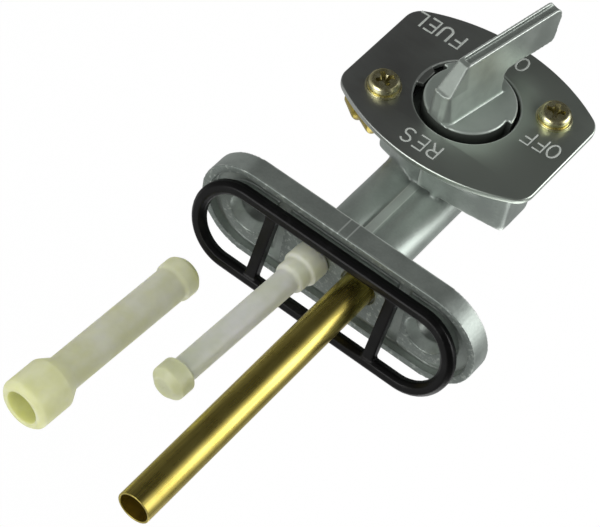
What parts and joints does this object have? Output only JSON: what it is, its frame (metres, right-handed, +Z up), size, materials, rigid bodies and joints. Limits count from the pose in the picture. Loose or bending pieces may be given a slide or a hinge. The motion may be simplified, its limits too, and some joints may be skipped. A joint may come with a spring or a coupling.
{
  "type": "fuel tap",
  "caption": "Lever fuel tap with a long tank flange, double neck, brass standpipe, nylon strainers, lifted rubber seal and side hose outlet.",
  "frame": {"origin": "middle of the flange face that meets the tank, on the line between the two tank bolts", "axes": "+Z up into the tank along the pipes, X through the tank bolts, -Y out of the lever's face"},
  "size_m": [0.0678, 0.046, 0.1313],
  "materials": {
    "cast_metal": "die cast, lightly tumbled",
    "plate_metal": "die cast and polished face",
    "lever_metal": "die cast, satin",
    "seal_rubber": "moulded",
    "pipe_brass": "drawn, bright",
    "nylon": "natural moulded nylon",
    "spring_steel": "plain",
    "yellow_zinc": "yellow passivated zinc on steel"
  },
  "bodies": {
    "tap": {"body_casting": "cast_metal", "tank_seal": "seal_rubber", "main_pipe": "pipe_brass", "reserve_strainer": "nylon", "main_strainer": "nylon", "face_plate": "plate_metal", "valve_packing": "seal_rubber", "wave_washer": "spring_steel", "outlet_nipple": "pipe_brass", "plate_screws": "yellow_zinc", "screw_washers": "yellow_zinc"},
    "lever": {"lever": "lever_metal", "rotor_ring": "seal_rubber"}
  },
  "joints": [
    {"name": "lever_turn", "type": "hinge", "parent": "tap", "child": "lever", "pos_m": [0, 0, -0.04], "axis": [0, 1, 0], "range_deg": [-10, 170]}
  ]
}
